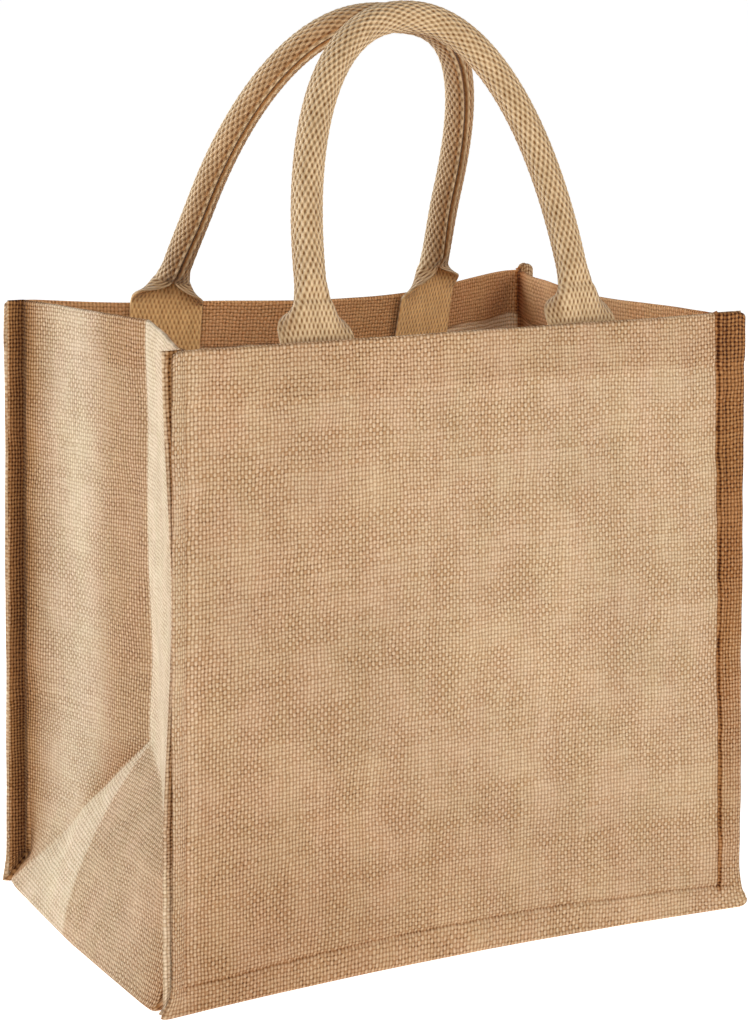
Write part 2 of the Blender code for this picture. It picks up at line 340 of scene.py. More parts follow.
def jute_material(name, tones):
    """Plain weave of single jute yarns, from the yarn counts in the weave map.

    Yarns lie over and under each other in turn, upright ones brighter, with dark holes at the
    corners of four. "layers" deepens the holes where the cloth is double, and the painted shade
    in "shade" browns it beside seams and folds. Light comes through to the inside of a single layer.
    """
    material, tree, shader = new_material(name, JUTE_SURFACE)
    u, v = weave_map(tree)
    place, turned = place_at(u, v), place_at(v, u, 5.0)
    layers, shade = attribute(tree, "layers"), attribute(tree, "shade")
    u, v = wandered(u, place, "warp"), wandered(v, turned, "weft")
    warp, weft = u.floor(), v.floor()
    # 0 where an upright yarn lies on top and 1 where a crossing one does
    parity = (warp + weft).math("MODULO", 2.0).math("ABSOLUTE")
    across, along = u.ridge(), v.ridge()
    slub_warp = noise(place_at(warp * 7.3, v * 0.13), 1.0)
    slub_weft = noise(place_at(weft * 5.9, u * 0.13, 4.0), 1.0)
    warp_high = (across * (slub_warp * 0.6 + 0.70)).clamp() * (along * 0.60 + 0.44)
    weft_high = (along * 0.65 + 0.34) * (slub_weft * 0.5 + 0.75) * (across * 0.55 + 0.40)
    height = parity.mix(warp_high, weft_high)
    # Fibres run along each yarn, and each yarn has a tint and slubs of its own
    fibre_warp = noise(place_at(u * 3.5, v * 0.55), 1.0, **GRAIN)
    fibre_weft = noise(place_at(u * 0.55, v * 3.5, 3.0), 1.0, **GRAIN)
    fibre = parity.mix(fibre_warp, fibre_weft)
    tint = parity.mix(chance(warp, 0.37), chance(weft, 211.37))
    streak = parity.mix(slub_warp, slub_weft) - 0.5
    worn = noise(place, 0.070, detail=3.0, roughness=0.6).between(0.32, 0.68) * 0.9 + 0.60
    lightness = tint * 0.25 + fibre + streak * 0.6 - parity * worn * WEFT_DULL + height * 0.9 - 0.45
    yarn = colour_mix(lightness.clamp(), tones["dull"], tones["light"])
    # Gaps vary from place to place and are darkest in the painted shade
    odd = noise(place, 0.9)
    hole = (across.rest() * along.rest()).between(0.02, 0.45) * odd.between(0.25, 0.70)
    furrow = across.rest().between(0.25, 0.95) * (odd.between(0.25, 0.75) * 0.6 + 0.4)
    dark_hole = hole * (layers * HOLE["change"] + HOLE["single"])
    dark_furrow = furrow * (layers * FURROW["change"] + FURROW["single"])
    dark = (dark_hole + dark_furrow) * worn * (shade * shade * 0.9 + 1.0)
    colour = colour_mix(dark.clamp(), yarn, tones["gap"])
    hue = noise(place_at(u * 0.10, v * 0.045, 9.0), 1.0, detail=3.0, roughness=0.6)
    lean = colour_mix(hue.between(0.35, 0.65), OLIVE, PINK)
    cloud = noise(place, 0.020, detail=4.0, roughness=0.6)
    colour = scaled(colour_mix(1.0, colour, lean, "MULTIPLY"), (cloud - 0.5) * CLOUD_DEPTH + 1.0)
    if tones["through"]:
        through = layers.rest() * (along * 0.8 + 0.2) * tones["through"]
        colour = colour_mix(through.clamp(), colour, THROUGH)
    # Painted shade, deeper in the weave's hollows than on its yarns
    colour = painted_shade(colour, shade * (height * -0.6 + 1.3))
    dress(shader, colour, height + fibre * 0.35 - hole * 0.4, JUTE_BUMP)
    return material


WEB_COLUMNS = 34
WEB_REPEAT = 0.0053
SELVEDGE_COLUMNS, SELVEDGE_BLEND = 1.3, 0.8
# Tones of the webbing. The inside's are a lighter, redder copy of the outside's: painted warm light
# bounced about inside the bag, where the feet are seen
WEB = {
    "outside": {"light": (0.725, 0.530, 0.318), "dull": (0.455, 0.278, 0.124),
                "gap": (0.160, 0.060, 0.010), "slot": 0.58, "valley": 0.38},
    "inside": {"light": (1.000, 0.655, 0.290), "dull": (0.800, 0.428, 0.165),
               "gap": (0.345, 0.129, 0.032), "slot": 0.50, "valley": 0.30},
}
WEB_SURFACE = {"Roughness": 0.85, "Specular IOR Level": 0.15, "Sheen Weight": 0.30,
               "Sheen Roughness": 0.45, "Sheen Tint": (1.0, 0.94, 0.82, 1.0)}
WEB_BUMP = {"Strength": 0.8, "Distance": 0.0006}


def webbing_material(name, tones):
    """Cotton webbing: staggered pebbles of yarn with dark slots between, and plain selvedges."""
    material, tree, shader = new_material(name, WEB_SURFACE)
    u, v = weave_map(tree)
    place = place_at(u, v)
    wander = noise(place, 0.70) - 0.5
    drift = noise(place_at(v, u, 7.0), 0.15) - 0.5
    columns = ((u + drift * 0.35 + wander * 0.45) * math.pi).math("COSINE")
    lattice = columns * ((v + drift * 0.25 + wander * 0.22) * math.tau).math("COSINE")
    middle = WEB_COLUMNS / 2
    selvedge = middle - SELVEDGE_COLUMNS
    edge = (u - middle).math("ABSOLUTE").between(selvedge, selvedge + SELVEDGE_BLEND)
    odd = noise(place, 0.9).between(0.25, 0.75) + 0.3
    slot = (lattice * -1.0).between(0.15, 0.98) * edge.rest() * odd
    valley = lattice.between(-0.6, 0.6).rest() * (edge * -0.7 + 1.0)
    fibre = noise(place_at(u * 3.0, v * 2.6), 1.0, **GRAIN)
    cloud = noise(place, 0.25)
    pebble = noise(place_at(u.floor() * 3.1, (v * 2.0).floor() * 5.7), 1.0)
    lightness = fibre * 1.3 + cloud * 0.5 + pebble * 0.6 + lattice * 0.25 - 0.70
    yarn = colour_mix(lightness.clamp(), tones["dull"], tones["light"])
    dark = (slot * tones["slot"] + valley * tones["valley"]).clamp()
    colour = scaled(colour_mix(dark, yarn, tones["gap"]), (cloud - 0.5) * 0.35 + 1.0)
    height = edge.mix(lattice.between(-1.0, 0.9), fibre * 0.4 + 0.5) + fibre * 0.40
    dress(shader, painted_shade(colour, attribute(tree, "shade")), height, WEB_BUMP)
    return material


# ---------------- meshes


def new_object(name, data):
    obj = bpy.data.objects.new(name, data)
    bpy.context.scene.collection.objects.link(obj)
    return obj


def quads(grid):
    """The quads between the points of a grid of point numbers."""
    corners = [grid[:-1, :-1], grid[:-1, 1:], grid[1:, 1:], grid[1:, :-1]]
    return np.stack(corners, axis=-1).reshape(-1, 4)


def make_piece(name, points, faces, uvs, values, materials, lined):
    """A smooth mesh: a weave map and values for each point, and the second material on lined faces.

    A quad that has one corner twice becomes a triangle.
    """
    mesh = bpy.data.meshes.new(name)
    mesh.from_pydata(points.tolist(), [], [list(dict.fromkeys(face)) for face in faces.tolist()])
    corners = np.zeros(len(mesh.loops), np.int32)
    mesh.loops.foreach_get("vertex_index", corners)
    mesh.uv_layers.new(name="weave").data.foreach_set("uv", uvs[corners].astype(np.float32).ravel())
    for key, data in values.items():
        mesh.attributes.new(key, "FLOAT", "POINT").data.foreach_set("value", data.astype(np.float32))
    for material in materials:
        mesh.materials.append(material)
    mesh.polygons.foreach_set("material_index", lined.astype(np.int32))
    mesh.shade_smooth()
    return new_object(name, mesh)


def rounding(count):
    """Share of the full thickness in each row: it closes in a half round at both ends."""
    from_start = np.arange(count)
    from_edge = np.minimum(from_start, from_start[::-1])
    return np.sin(np.minimum(from_edge / ROUND_STEPS, 1) * math.pi / 2)


def both_faces(outer, inner):
    """Values of every grid point of a sheet's outer face, then of its inner face within its edge."""
    size = outer.shape[2:]
    return np.concatenate([outer.reshape(-1, *size), inner[1:-1, 1:-1].reshape(-1, *size)])


def cloth(name, outer, thickness, uvs, values, materials, outward, turned_out):
    """A closed sheet below a grid of points of its outer face, with rounded edges.

    outer is rows by columns by 3. The first and last ROUND_STEPS rows and columns are its edge.
    Where turned_out is above a half, the inner face is seen from outside and has its colour.
    """
    rows, columns = outer.shape[:2]
    normal = np.cross(np.gradient(outer, axis=1), np.gradient(outer, axis=0)) * outward
    normal /= np.linalg.norm(normal, axis=2, keepdims=True) + 1e-12
    half = thickness[..., None] / 2
    bulge = normal * half * np.outer(rounding(rows), rounding(columns))[..., None]
    middle = outer - normal * half
    index = np.arange(rows * columns).reshape(rows, columns)
    inner_index = index.copy()
    inner_index[1:-1, 1:-1] = index.size + np.arange((rows - 2) * (columns - 2)).reshape(rows - 2, -1)
    # The outer face's quads turn one way round and the inner face's the other
    faces = np.concatenate([quads(index)[:, ::outward], quads(inner_index)[:, ::-outward]])
    lined = np.concatenate([np.zeros(len(faces) // 2), turned_out[:-1, :-1].ravel() < 0.5])
    values = {key: both_faces(data, data) for key, data in values.items()}
    points = both_faces(middle + bulge, middle - bulge)
    return make_piece(name, points, faces, both_faces(uvs, uvs), values, materials, lined)


def stations(*spans):
    """Distances that run through spans of (end, step), from 0, closer together where step is."""
    places = [0.0]
    for end, step in spans:
        count = max(1, round((end - places[-1]) / step))
        places.extend(np.linspace(places[-1], end, count + 1)[1:])
    return np.array(places)


# Distances of the first rows from an edge, so that they turn round it in a half circle
EDGE_STEPS = HEM_LAYERS / 2 * (1 - np.cos(np.linspace(0, math.pi / 2, ROUND_STEPS + 1)))


def between_edges(places, total):
    """The places from 0 to total, with the rows that turn round the cloth's edge at both ends."""
    margin = EDGE_STEPS[-1] * 1.3
    inner = places[(places > margin) & (places < total - margin)]
    return np.concatenate([EDGE_STEPS, inner, total - EDGE_STEPS[::-1]])


def path_lengths(points):
    """Distance along a path at each of its points."""
    return np.concatenate([[0.0], np.cumsum(np.linalg.norm(np.diff(points, axis=0), axis=1))])


def along_path(places, lengths, points):
    """Points at these places of a path that has its points at these lengths."""
    return np.stack([np.interp(places, lengths, values) for values in points.T], axis=-1)


# ---------------- panels


GROOVE_STEP, FINE_STEP, HEM_STEP, RIM_STEP = 0.0004, 0.0014, 0.0008, 0.002
GROOVE_REACH, BESIDE_SEAM = 0.0024, 0.012


def across_seam(place):
    """Spans that run up to a seam and across its groove."""
    return (place - GROOVE_REACH, FINE_STEP), (place + GROOVE_REACH, GROOVE_STEP)


def across_panel(left_seam, right_seam):
    """Columns of a panel as distances from its left edge, close together at edges and seams."""
    return between_edges(stations(
        *across_seam(left_seam), (left_seam + BESIDE_SEAM, FINE_STEP),
        (right_seam - BESIDE_SEAM, GRID_STEP), *across_seam(right_seam), (FLAT_WIDTH, FINE_STEP),
    ), FLAT_WIDTH)


def up_panel():
    """Rows of a panel as heights from the floor."""
    return between_edges(stations(
        *across_seam(FLOOR_SEAM_HEIGHT), (FLOOR_SEAM_HEIGHT + BESIDE_SEAM, FINE_STEP),
        (HEM_EDGE - 0.005, GRID_STEP), (HEM_EDGE + 0.003, HEM_STEP), (BODY_HEIGHT, RIM_STEP),
    ), BODY_HEIGHT)


# The front panel's left flange is drawn in by this much, but for its foot
FRONT_LEFT_TRIM, TRIM_FOOT = 0.0034, 0.010
# The front bottom seam rises in its middle, and the cloth above it too; its trough has this depth
# and painted shade
BOTTOM_SEAM = {"rise": 0.0042, "ends": -0.0012, "cloth": 0.26, "depth": 0.0008, "shade": 0.22}
# Depth of the upright seams, and painted shade in their grooves and on their flanges
SEAMS = {
    ("left", "front"): {"depth": 0.0004, "dark": 0.15, "flange": 0.0},
    ("right", "front"): {"depth": 0.0013, "dark": 1.55, "flange": 1.30},
    ("left", "back"): {"depth": 0.0010, "dark": 0.7, "flange": 0.15},
    ("right", "back"): {"depth": 0.0010, "dark": 0.7, "flange": 0.15},
}
# Width of a seam's trough and of its shade, and reach of the dip and puckers beside it
TROUGH, TROUGH_SHADE, DIP_REACH, PUCKER_REACH = 0.0009, 0.0010, 0.0032, 0.006
DIP = {"depth": 0.35, "shade": 0.22}
PUCKERS = {"upright": 0.00022, "bottom": 0.0002, "hem": 0.00025}
# A second trough runs down the wide right flange, with painted shade in it
SECOND_TROUGH = {"place": 0.0044, "reach": 0.0011, "depth": 0.0005, "shade": 0.45}
FLANGE_CUSHION, HEM_RISE = 0.0005, 0.00035
# How suddenly one layer becomes two
LAYER_STEP, HEM_BLEND = 0.0008, 0.0012
# Soft swells of the cloth, with the seed of each panel
SWELLS = ({"height": 0.00055, "size": 0.085, "front": 11, "back": 12},
          {"height": 0.00022, "size": 0.030, "front": 13, "back": 14})
# The flanges' shade grows from this height on, and is full a reach above it
SHADE_FOOT = {"from": -0.060, "reach": 0.300}
# Painted shade on the hem, growing towards the right
HEM_SHADE = 0.24
# Painted shade: the front panel is browner towards its left edge and its foot
PANEL_SHADE = {"left": 0.30, "left_reach": 0.24, "foot": 0.30, "foot_reach": 0.15}
# Painted shade darkens its left edge, and painted highlights lighten a band inside it and its right
# edge
FRONT_EDGES = {"dark": (0.38, 0.0012), "band": (0.20, 0.008), "light": (0.50, 0.0016)}
# The rim's corners are rounded, and the foot's turn up a little
RIM_CORNER = {"radius": 0.005, "share": 0.6, "reach": 0.02}
FOOT_CORNER = {"left": 0.2, "right": 0.7, "reach": 0.012}
# The back panel's rim hangs a little between the left corner and the handle
RIM_SAG = {"depth": 0.0017, "place": -0.100, "reach": 0.062}
# The right flange stands up above the back rim
NUB_RISE, NUB_REACH = 0.0035, 0.03


def shaded(z):
    """Share of the flanges' shade at height z."""
    return smooth((z - SHADE_FOOT["from"]) / SHADE_FOOT["reach"])


def panel_layout(panel):
    """Grid of a panel: x and z of each point, the x of edges and seams, and places in flat cloth."""
    left_seam = np.mean(FLANGES["left", panel])
    right_seam = FLAT_WIDTH - np.mean(FLANGES["right", panel])
    flat_x, z = np.meshgrid(across_panel(left_seam, right_seam), up_panel())
    share = np.interp(flat_x, [0.0, left_seam, right_seam, FLAT_WIDTH], [0, 1, 2, 3])
    edges, seams = {}, {}
    for side, sign in SIDES.items():
        flare = CORNER_FLARE[side] * np.maximum(1 - z / CORNER_FLARE_HEIGHT, 0.0) ** 2
        edges[side] = sign * (half_width(z) + flare)
        seams[side] = seam_x(side, panel, z)
    if panel == "front":
        edges["left"] += FRONT_LEFT_TRIM * smooth(z / TRIM_FOOT)
    x = blend(seams["left"], seams["right"], share - 1)
    x = np.where(share < 1, blend(edges["left"], seams["left"], share), x)
    x = np.where(share > 2, blend(seams["right"], edges["right"], share - 2), x)
    return x, z, edges, seams, np.stack([flat_x / WARP_PITCH, z / WEFT_PITCH], axis=-1)


def upright_seam(side, panel, x, z, outside, flange):
    """Relief and shade of an upright seam and its flange, where outside is the distance past it."""
    seam = SEAMS[side, panel]
    strength = 0.85 + 0.15 * ripple(z, x * 0, 0.022, 21)
    dip = fade(outside, DIP_REACH) * (outside < 0)
    relief = -seam["depth"] * (line(outside, TROUGH) * strength + DIP["depth"] * dip)
    relief += FLANGE_CUSHION * np.sin(math.pi * np.clip(outside / flange, 0, 1))
    relief += PUCKERS["upright"] * ripple(z, x * 0.3, 0.0105, 22) * fade(outside, PUCKER_REACH)
    shade = seam["dark"] * (line(outside, TROUGH_SHADE) * strength + DIP["shade"] * dip)
    shade += seam["flange"] * smooth(outside / 0.0012) * shaded(z)
    if (side, panel) == ("right", "front"):
        trough = line(outside - SECOND_TROUGH["place"], SECOND_TROUGH["reach"])
        trough = trough * (0.75 + 0.25 * ripple(z, x * 0, 0.03, 26))
        relief -= SECOND_TROUGH["depth"] * trough
        shade += SECOND_TROUGH["shade"] * trough * shaded(z)
    return relief, shade


def front_shade(x, z, edges):
    """Painted shade to the front panel's left, foot and left edge, and painted highlights by its
    edges.
    """
    from_left, from_right = x - edges["left"], edges["right"] - x
    (dark, dark_reach), (band, band_reach), (light, light_reach) = FRONT_EDGES.values()
    shade = dark * shaded(z) * near(from_left, dark_reach) - light * near(from_right, light_reach)
    shade -= band * near(from_left - band_reach, band_reach)
    to_left = 0.5 - x / (2 * half_width(z))
    shade += PANEL_SHADE["left"] * near((1 - to_left) * RIM_WIDTH, PANEL_SHADE["left_reach"])
    return shade + PANEL_SHADE["foot"] * near(z, PANEL_SHADE["foot_reach"]) * (0.4 + 0.6 * to_left)


def corner_drop(panel, x, z, edges, seams):
    """How far points sink, or rise below 0, at the corners and along the back rim."""
    radius = RIM_CORNER["radius"]
    corner = np.clip(radius - np.minimum(x - edges["left"], edges["right"] - x), 0, radius)
    from_rim = BODY_HEIGHT - z
    foot = near(z, FOOT_CORNER["reach"]) * np.where(x < 0, FOOT_CORNER["left"], FOOT_CORNER["right"])
    share = RIM_CORNER["share"] * near(from_rim, RIM_CORNER["reach"]) - foot
    drop = (radius - np.sqrt(radius**2 - corner**2)) * share
    if panel == "back":
        beyond = np.clip((x - seams["right"]) / (edges["right"] - seams["right"]), 0, 1)
        sag = RIM_SAG["depth"] * bump(x - RIM_SAG["place"], RIM_SAG["reach"])
        drop += (sag - NUB_RISE * np.sqrt(np.sin(math.pi * beyond))) * near(from_rim, NUB_REACH)
    return drop


def panel_piece(panel, materials):
    """One panel with its hem, its flanges and the seams that sink between them and the body."""
    x, z, edges, seams, uvs = panel_layout(panel)
    across = np.clip(np.abs(x) / half_width(z), 0, 1)
    seam_rise = 0 * across
    if panel == "front":
        seam_rise = BOTTOM_SEAM["rise"] * (1 - across**2) + BOTTOM_SEAM["ends"]
    above_seam = 1 - (z - FLOOR_SEAM_HEIGHT) / BOTTOM_SEAM["cloth"]
    lift = np.where(z < FLOOR_SEAM_HEIGHT, z / FLOOR_SEAM_HEIGHT, above_seam)
    z = z + seam_rise * np.clip(lift, 0, 1)
    under = FLOOR_SEAM_HEIGHT + seam_rise - z
    relief = sum(row["height"] * ripple(x, z, row["size"], row[panel]) for row in SWELLS)
    relief -= BOTTOM_SEAM["depth"] * line(under, TROUGH) * (across < 0.97)
    relief += PUCKERS["bottom"] * ripple(x, z * 0.3, 0.011, 23) * fade(under, PUCKER_REACH)
    shade = BOTTOM_SEAM["shade"] * line(under, TROUGH) * smooth((0.965 - across) / 0.03)
    in_flange = smooth(under / LAYER_STEP)
    above = smooth((z - (FLOOR_SEAM_HEIGHT + seam_rise) * 0.6) / 0.006)
    for side, sign in SIDES.items():
        outside = sign * (x - seams[side])
        flange = np.abs(edges[side] - seams[side])
        seam_relief, seam_shade = upright_seam(side, panel, x, z, outside, flange)
        relief += seam_relief * above
        shade += seam_shade * above
        in_flange = np.maximum(in_flange, smooth(outside / LAYER_STEP) * above)
    in_hem = smooth((z - HEM_EDGE + 0.0008 * ripple(x, z, 0.05, 24)) / HEM_BLEND)
    relief += HEM_RISE * in_hem
    relief += PUCKERS["hem"] * bump(z - HEM_EDGE, 0.004) * ripple(x, z * 0, 0.016, 25)
    shade += HEM_SHADE * in_hem * smooth(x / RIM_WIDTH + 0.7)
    if panel == "front":
        shade += front_shade(x, z, edges)
    double = np.maximum(in_hem, in_flange)
    outward = -PANELS[panel]
    outer = outer_face(panel, x, z)
    outer[..., 1] -= relief * smooth(z / 0.004) * outward
    outer[..., 2] -= corner_drop(panel, x, z, edges, seams)
    values = {"layers": double, "shade": shade}
    thickness = blend(SINGLE_LAYER, HEM_LAYERS, double)
    return cloth(panel + "_cloth", outer, thickness, uvs, values, materials, outward, in_flange)


# ---------------- gusset


WALL, FLANGE = 0.099, 0.0090
# Distances from the rim down the middle of a wall, and the step of each
STRIP_ROWS = ((0.020, 0.0040), (0.0285, 0.0009), (0.199, 0.0045), (0.312, 0.0017))
FLOOR_STEP = 0.0060
# Distances from the middle of a wall to its seam, and the step of each
STRIP_COLUMNS = ((0.008, 0.0010), (0.091, 0.0020), (WALL, 0.0009))
CREASE_RADIUS = 0.0007
CONTROL_STEP, TRIANGLE_ROWS = 0.006, 62
BEHIND_FLANGE = HEM_LAYERS + GAP + SINGLE_LAYER
# Painted shade on the strip: by the crease, by the back seam, beside the folds, in front of the ridge,
# on the hem by the crease and at the seams' roots; the right flanges keep less of it
STRIP_SHADE = {
    "crease": 0.70, "crease_reach": (0.022, 0.058), "back_seam": 0.75, "back_reach": 0.015,
    "fold": 0.25, "fold_reach": 0.012, "facet": 0.46, "hem": 0.12, "root": 1.3, "right_flange": 0.4,
}
# Share of each half of the strip that lies flat at the floor's corner, and under the bag
CORNER_FOLD_SHARE, FLOOR_END_SHARE, FLOOR_FOLD_SHARE = 0.992, 0.95, 0.875
# The seam allowance narrows to this at the corner
CORNER_ROOT = 0.0008
# The strip's walls swing out and in again between crease and seam
FOLD_SWING = {"back": 0.0014, "front": -0.0006}
# The flat triangle at the foot of a wall has a soft ridge down to the floor
RIDGE = {"place": 0.13, "height": 0.0090, "floor": 0.0010}
# and its foot runs inwards by this much to the back
FOOT_SKEW = 0.0030
# The strip's front left flange reaches out a little, but is pushed in half way up
LEFT_PUSH = {"out": 0.0001, "in": 0.0044, "height": 0.186, "reach": 0.118}


def flange_edge(side, panel, z):
    """Outer edge of one of the strip's flanges."""
    edge = half_width(z) - FLANGE_INSET
    if (side, panel) == ("left", "front"):
        push = LEFT_PUSH["in"] * bump(z - LEFT_PUSH["height"], LEFT_PUSH["reach"])
        edge = half_width(z) + (LEFT_PUSH["out"] - push) * smooth(z / TRIM_FOOT)
    return SIDES[side] * edge


def fold_shares(z):
    """Share of each half of a wall that lies flat at height z: the folds run down to its seams."""
    down = CREASE_APEX_HEIGHT - z
    return {
        "front": np.clip(down / (CREASE_APEX_HEIGHT - FRONT_FOLD_HEIGHT), 0, CORNER_FOLD_SHARE),
        "back": np.clip(down / CREASE_APEX_HEIGHT, 0, CORNER_FOLD_SHARE),
    }


def wall_row(side, z):
    """Control row across a wall at height z. Seams and edges are an x and a height."""
    sign = SIDES[side]
    fold = fold_shares(z)
    below = max(CREASE_APEX_HEIGHT - z, 0.0) / CREASE_APEX_HEIGHT
    crease = blend(CREASE_HALF_SPAN, CREASE_FLOOR_HALF_SPAN, below)
    to_seam = fold["front"] / CORNER_FOLD_SHARE
    facet_edge = blend(CREASE_HALF_SPAN, abs(seam_x(side, "front", z)), to_seam)
    return {
        "middle": (sign * crease, CREASE_SHIFT[side] * z / BODY_HEIGHT, z),
        "facet_edge": sign * max(crease, facet_edge),
        "seam": {panel: (seam_x(side, panel, z), max(z, CORNER_SEAM_HEIGHT)) for panel in PANELS},
        "edge": {panel: (flange_edge(side, panel, z), z) for panel in PANELS},
        "fold": fold, "root": blend(CORNER_ROOT, SEAM_ROOT, smooth(z / 0.045)),
    }


def low_row(middle, seam, edge, fold, root):
    """Control row at the floor, alike at its front and back."""
    return {"middle": (middle[0], 0.0, middle[1]), "facet_edge": middle[0], "root": root,
            "seam": dict.fromkeys(PANELS, seam), "edge": dict.fromkeys(PANELS, edge),
            "fold": dict.fromkeys(PANELS, fold)}


def wall_rows(side):
    """Control rows of one wall from the rim down, and round on to the floor."""
    above = np.arange(BODY_HEIGHT, CREASE_APEX_HEIGHT, -CONTROL_STEP)
    below = CREASE_APEX_HEIGHT * np.linspace(1, 0.045, TRIANGLE_ROWS)
    rows = [wall_row(side, z) for z in (*above, *below)]
    for corner in CORNER_TURN:
        places = (
            (SIDES[side] * (CREASE_FLOOR_HALF_SPAN - inwards), up) for inwards, up in corner.values()
        )
        rows.append(low_row(*places, CORNER_FOLD_SHARE, CORNER_ROOT))
    return rows


def floor_row(x):
    fold = blend(FLOOR_FOLD_SHARE, FLOOR_END_SHARE, smooth((abs(x) - 0.08) / 0.025))
    return low_row((x, 0.0), (x, FLOOR_SEAM_HEIGHT), (x, FLANGE_FLOOR_GAP), fold, SEAM_ROOT)


def strip_rows():
    """Control rows of the strip from the left rim, under the bag, to the right rim."""
    floor_rows = [floor_row(x) for x in np.linspace(-FLOOR_REACH, FLOOR_REACH, 12)]
    return wall_rows("left") + floor_rows + wall_rows("right")[::-1]


def ramp(distance, radius):
    """distance where it is above 0 and 0 below, with the turn rounded."""
    return (distance + np.sqrt(distance**2 + radius**2)) / 2


def strip_section(row, turns):
    """Points across the strip for one control row.

    turns run from -3 to 3: the front flange's edge, its seam, its root, the middle, and so on back.
    """
    middle = np.array(row["middle"])
    sign = math.copysign(1, middle[0])
    front_fold, back_fold = row["fold"]["front"], row["fold"]["back"]
    peak = RIDGE["place"] * back_fold
    on_wall = (turns > -1) & (turns < 1)
    points = np.zeros((len(turns), 3))
    points[on_wall] = middle
    facet = np.clip((peak - turns) / (peak + front_fold + 1e-9), 0, 1) * on_wall
    points[:, 0] += (row["facet_edge"] - middle[0]) * facet
    for panel, way in PANELS.items():
        inwards = np.array([0.0, -way, 0.0])
        seam, edge = (
            outer_face(panel, *row[key][panel]) + inwards * BEHIND_FLANGE for key in ("seam", "edge")
        )
        root = seam + inwards * row["root"]
        half = abs(root[1] - middle[1])
        fold = row["fold"][panel]
        start = row["facet_edge"] if panel == "front" else middle[0]
        size = turns * way
        run = ramp((size - fold) * half, CREASE_RADIUS) / ((1 - fold) * half + CREASE_RADIUS * 0.01)
        share = np.minimum(run, 1.0)[:, None] * on_wall[:, None]
        points += share * np.array([root[0] - start, 0.0, root[2] - middle[2]])
        here = on_wall & (size >= 0)
        points[here, 1] = middle[1] + (root[1] - middle[1]) * size[here]
        swing = FOLD_SWING[panel] * np.sin(math.tau * np.clip(size, 0, 1)) * (1 - fold)
        points[here, 0] += sign * swing[here]
        outer = size >= 1
        inner_share = np.clip(size - 1, 0, 1)[outer, None]
        outer_share = np.clip(size - 2, 0, 1)[outer, None]
        points[outer] = blend(blend(root, seam, inner_share), edge, outer_share)
    if 0 < back_fold and middle[2] > 0 and abs(middle[0]) > CREASE_HALF_SPAN:
        low = back_fold / CORNER_FOLD_SHARE
        behind_peak = (back_fold - turns) / (back_fold - peak)
        tent = np.where(turns > peak, behind_peak, (turns + front_fold) / (peak + front_fold))
        height = RIDGE["height"] * 4 * low * (1 - low) + RIDGE["floor"] * low
        points[:, 0] += sign * np.clip(tent, 0, 1) * height * on_wall
        points[:, 0] -= sign * FOOT_SKEW * np.clip(turns, 0, 1) * low**2 * on_wall
    return points


def strip_turns():
    """Columns of the strip, from the front flange's edge at -3 to the back one's at 3."""
    last = 3 - EDGE_STEPS[::-1] / FLANGE
    root, flange = np.linspace(1.0, 2.0, 5)[1:], np.linspace(2.0, last[0], 7)[1:-1]
    turns = np.concatenate([stations(*STRIP_COLUMNS) / WALL, root, flange, last])
    return np.concatenate([-turns[::-1], turns[1:]])


def strip_shade(turns, flat_u, rise, in_hem, in_flange):
    """Painted shade on the strip beside folds and seams, in front of the ridge and on its flanges."""
    around = np.abs(turns)
    folds = fold_shares(rise)
    fold = np.where(turns < 0, folds["front"], folds["back"])
    past_fold = (around - fold) * WALL
    above = smooth(past_fold / 0.003 + 0.5) * (around < 1)
    back = smooth(flat_u / 0.0012 + 0.5)
    start, end = STRIP_SHADE["crease_reach"]
    beside_crease = near(flat_u - start, end - start) * back
    shade = (STRIP_SHADE["crease"] * above + STRIP_SHADE["hem"] * in_hem) * beside_crease
    beside_seam = fade(np.maximum(WALL - flat_u, 0), STRIP_SHADE["back_reach"]) * (flat_u > 0)
    shade += STRIP_SHADE["back_seam"] * beside_seam * np.maximum(above, around >= 1)
    has_fold = smooth(fold / 0.1)
    beside_fold = fade(np.maximum(past_fold, 0), STRIP_SHADE["fold_reach"]) * has_fold
    shade += STRIP_SHADE["fold"] * beside_fold * above * back
    facet = smooth((RIDGE["place"] * folds["back"] - turns) * WALL / 0.003 + 0.5)
    shade += STRIP_SHADE["facet"] * facet * (1 - above) * has_fold * (around < 1)
    to_edge = (3 - around) * FLANGE
    front_flange = 0.45 + 0.8 * smooth((to_edge - 0.0014) / 0.0014)
    front_flange = front_flange * (0.25 + 0.75 * smooth((rise - 0.03) / 0.09))
    back_flange = 0.75 + 0.65 * smooth((to_edge - 0.002) / 0.006) - 0.6 * near(to_edge - 0.0005, 0.001)
    shade += in_flange * np.where(flat_u < 0, front_flange, back_flange)
    return shade + STRIP_SHADE["root"] * line(around - 1.5, 0.5)


